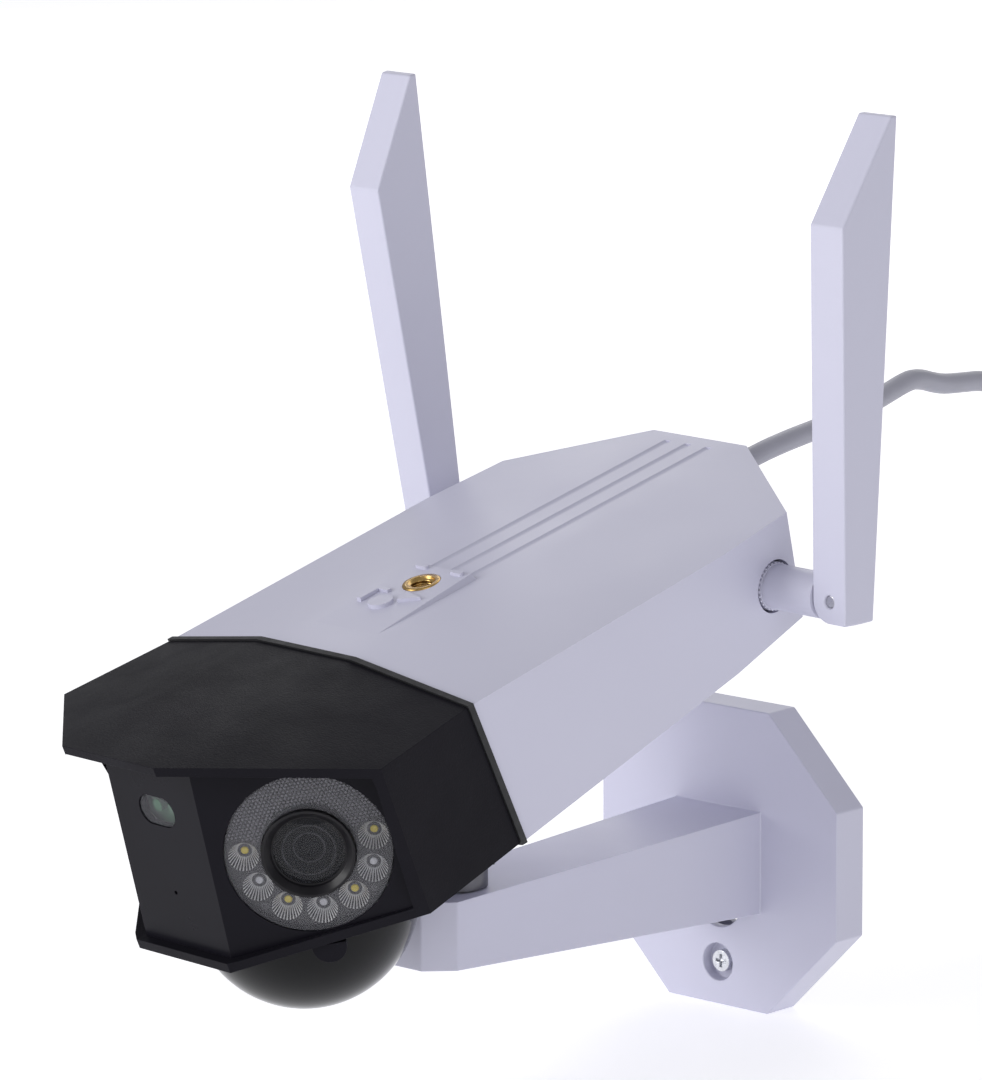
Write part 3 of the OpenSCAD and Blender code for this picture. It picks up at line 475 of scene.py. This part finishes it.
dome = bmesh.new()
bowl = half_bowl(DOME_R, 28)
inside = DOME_R - DOME_WALL
hollow = half_bowl(inside, 20)[::-1]
lathe(dome, bowl + [(DOME_R - 0.2, 0.02), (DOME_R - 0.2, DOME_RIM), (DOME_R + 1.6, DOME_RIM),
                    (DOME_R + 1.6, DOME_RIM + 1.5), (inside - 0.2, DOME_RIM + 1.5),
                    (inside - 0.2, 0.02)] + hollow,
      SCALE @ HEAD @ Matrix.Translation(DOME), 128)
finish_piece("sensor_dome", dome, "head", "dome_black", ["motion_dome"], smooth=40)

THREAD_PITCH = 1.27
THREAD_R = 2.55
THREAD_LEN = 8.6
THREAD_ROWS = 76
INSERT_DEPTH = 7.6
thread = [(THREAD_R, THREAD_LEN - THREAD_LEN * k / (THREAD_ROWS - 1)) for k in range(THREAD_ROWS)]
outline = [(4.4, 0), (4.4, 8.2), (4.6, 8.2), (4.6, 8.85), (4.45, 9), (3.35, 9)]


def thread_ripple(angle, index):
    if not len(outline) <= index < len(outline) + THREAD_ROWS:
        return 1.0
    z = thread[index - len(outline)][1]
    phase = (z / THREAD_PITCH - angle / (2 * pi)) % 1.0
    return 1.0 + 0.2 * min(1.0, max(0.0, 1.35 - 3.4 * abs(phase - 0.5)))


insert = bmesh.new()
lathe(insert, closed_profile(outline + thread),
      SCALE @ HEAD @ shift(0, INSERT_Y, -INSERT_DEPTH), 72, thread_ripple)
finish_piece("roof_insert_thread", insert, "head", "brass", ["roof_insert"], smooth=50)

# ---------------------------------------------------------------- lens windows

FLUTES = 28
COMB_PITCH = 0.95
COMB_REACH = 19
COMB_R = (11.4, 18.5)
COMB_ANGLES = (18, 162)
SCREW_CIRCLE_R = 17.4
SCREW_ANGLES = (-136.5, -43.5)
CUP = [(3.55, -2.42), (3.42, -2.9), (3.15, -3.6), (2.75, -4.5), (2.25, -5.5), (1.78, -6.3)]


def lamp_places():
    for i in range(LAMP_COUNT):
        angle = radians(-90 + (i - (LAMP_COUNT - 1) / 2) * LAMP_STEP)
        yield i, shift(LAMP_CIRCLE_R * cos(angle), LAMP_CIRCLE_R * sin(angle), 0)


def flute(angle, index):
    return 1.0 - (0.015 + 0.012 * index) * (1 + cos(FLUTES * angle))


def domes(bm, matrix, places, r, h, sides=8):
    for x, y in places:
        lathe(bm, [(r, 0), (0.8 * r, 0.6 * h), (0.4 * r, 0.92 * h), (0, h)],
              matrix @ shift(x, y, -2.4), sides)


def honeycomb():
    """Staggered places over the part of the ring that has no lamps."""
    out = []
    row = 0
    y = 0.0
    while y < COMB_REACH:
        x = -COMB_REACH + (COMB_PITCH / 2 if row % 2 else 0)
        while x < COMB_REACH:
            r = (x * x + y * y) ** 0.5
            on_ring = COMB_R[0] < r < COMB_R[1]
            if on_ring and COMB_ANGLES[0] < degrees(atan2(y, x)) < COMB_ANGLES[1]:
                out.append((x, y))
            x += COMB_PITCH
        y += COMB_PITCH * 0.866
        row += 1
    return out


base = bmesh.new()
base.from_mesh(NODES["lamp_reflectors"].data)
finish_piece("lamp_ring_base", base, "head", "lens_housing", ["lamp_reflectors"])
cups, collars, comb, steps, pupils = (bmesh.new() for _ in range(5))
warm, clear = bmesh.new(), bmesh.new()


def add_lamps(face):
    """Fluted cup, collar and emitter of each lamp; every second one is infrared."""
    for i, place in lamp_places():
        lathe(cups, CUP, face @ place, FLUTES * 6, flute)
        lathe(collars, closed_profile([(1.72, -6.9), (1.72, -6.25), (1.5, -6.1), (1.02, -6.1),
                                       (1.02, -6.9)]), face @ place, 8)
        lathe(clear if i % 2 else warm, [(0.95, -7.4), (0.95, -6.2), (0.8, -5.98), (0.4, -5.86),
                                         (0, -5.83)], face @ place, 24)


def add_window_relief(face):
    """The honeycomb, and the two screw heads beside the lamps."""
    domes(comb, face, honeycomb(), 0.3, 0.17)
    screws = [(SCREW_CIRCLE_R * cos(radians(a)), SCREW_CIRCLE_R * sin(radians(a)))
              for a in SCREW_ANGLES]
    domes(collars, face, screws, 0.95, 0.18, 20)


def add_lens(face):
    """Steps inside the barrel, two thin rings and the pupil."""
    lathe(steps, closed_profile([(6.33, -2), (5.6, -2.1), (5.55, -2.7), (4.7, -2.8), (4.65, -3.4),
                                 (3.8, -3.5), (3.75, -4.1), (2.9, -4.2), (2.85, -5.1),
                                 (6.33, -5.1)]), face, 72)
    for r, rings in ((6.2, (-1.98, -1.9, -1.86, -2.0)), (3.7, (-3.48, -3.4, -3.36, -3.5))):
        radii = (r, r, r - 0.3, r - 0.4)
        lathe(comb, closed_profile(list(zip(radii, rings))), face, 72)
    lathe(pupils, [(2.83, -5), (2.4, -4.75), (1.6, -4.5), (0.8, -4.38), (0, -4.34)], face, 48)


for mirror_side in SIDES.values():
    lens_face = SCALE @ lens_frame(mirror_side)
    add_lamps(lens_face)
    add_window_relief(lens_face)
    add_lens(lens_face)
finish_piece("lamp_cups", cups, "head", "reflector_silver", smooth=25)
finish_piece("lamp_collars", collars, "head", "chip_black")
finish_piece("window_honeycomb", comb, "head", "grey_plastic", smooth=60)
finish_piece("lens_steps", steps, "head", "lens_housing", smooth=30)
finish_piece("lens_pupils", pupils, "head", "lens_glass", smooth=60)
finish_piece("white_lamp_domes", warm, "head", "white_lamp", ["white_lamps"])
finish_piece("infrared_lamp_domes", clear, "head", "infrared_lamp", ["infrared_lamps"])

CONTACT_COUNT = 8
CONTACT_PITCH = 1.02
FIRST_CONTACT_Y = 138 - 3 - 3.57
CONTACT_HALF = 0.23

contacts = bmesh.new()
for i in range(CONTACT_COUNT):
    y = FIRST_CONTACT_Y + CONTACT_PITCH * i
    block(contacts, (41, y - CONTACT_HALF, GROUND_Z + 9.5),
          (49, y + CONTACT_HALF, GROUND_Z + 9.9), SCALE, 0.05)
finish_piece("network_contacts", contacts, "head", "brass")

# ---------------------------------------------------------------- softened edges elsewhere

EDGES = {"wall_base": 0.4, "camera_shoe": 0.6, "pan_post": 0.5, "tilt_bolt": 0.3, "tilt_nut": 0.2,
         "card_cover": 0.3, "left_hinge_pin": 0.3, "right_hinge_pin": 0.3, "ring_windows": 0.25,
         "lens_barrels": 0.15, "light_sensor_window": 0.12, "reset_button": 0.1,
         "antenna_sockets": 0.15, "hood_screws": 0.08, "card_cover_screws": 0.08,
         "bracket_lock_screw": 0.1, "pan_screw": 0.1, "hood_gasket": 0.08}
for node, radius in EDGES.items():
    rounded(node, radius, 2)
CORD_EDGES = {"cable_junction": 1.4, "network_socket": 0.4, "power_socket": 0.3, "cable_tie": 0.2}
for node, radius in CORD_EDGES.items():
    soften = NODES[node].modifiers.new("edges", "BEVEL")
    soften.width = radius * MM
    soften.segments = 3
    soften.limit_method = "ANGLE"

# ---------------------------------------------------------------- floor, lights

FLOOR_GAP = 0.05
floor_material = Finish("floor", (0.93, 0.93, 0.94), 0.6,
                        Emission_Color=(1, 1, 1, 1), Emission_Strength=0.45)
floor_material = floor_material.blotches(300, 0.01).material


def make_floor():
    bm = bmesh.new()
    bmesh.ops.create_grid(bm, x_segments=1, y_segments=1, size=12)
    mesh = bpy.data.meshes.new("floor")
    bm.to_mesh(mesh)
    bm.free()
    mesh.materials.append(floor_material)
    floor = bpy.data.objects.new("floor", mesh)
    floor.location.z = (GROUND_Z - FLOOR_GAP) * MM
    bpy.context.scene.collection.objects.link(floor)


def area_light(name, direction, distance, size, power, color=(1, 1, 1)):
    data = bpy.data.lights.new(name, "AREA")
    data.shape = "DISK"
    data.size = size
    data.energy = power
    data.color = color
    light = bpy.data.objects.new(name, data)
    aim = Vector((0, -0.08, 0.08))
    away = Vector(direction).normalized()
    light.matrix_world = (Matrix.Translation(aim + away * distance)
                          @ away.to_track_quat("Z", "Y").to_matrix().to_4x4())
    bpy.context.scene.collection.objects.link(light)


def make_world():
    world = bpy.data.worlds.new("studio")
    bpy.context.scene.world = world
    world.use_nodes = True
    nodes, links = world.node_tree.nodes, world.node_tree.links
    background = nodes["Background"]
    background.inputs["Color"].default_value = (0.96, 0.96, 1.0, 1)
    background.inputs["Strength"].default_value = 0.42
    plain = nodes.new("ShaderNodeBackground")
    plain.inputs["Color"].default_value = (1, 1, 1, 1)
    plain.inputs["Strength"].default_value = 1.0
    seen = nodes.new("ShaderNodeLightPath")
    mix = nodes.new("ShaderNodeMixShader")
    links.new(seen.outputs["Is Camera Ray"], mix.inputs["Fac"])
    links.new(background.outputs["Background"], mix.inputs[1])
    links.new(plain.outputs["Background"], mix.inputs[2])
    links.new(mix.outputs["Shader"], nodes["World Output"].inputs["Surface"])


make_floor()
make_world()
area_light("key", (-0.5, -1.0, 0.3), 2.4, 1.4, 29)
area_light("back", (-0.6, 1.0, 0.7), 2.4, 2.0, 12)
area_light("fill", (1.0, -0.5, 0.35), 2.6, 1.8, 9)
bpy.context.scene.view_settings.view_transform = "Standard"
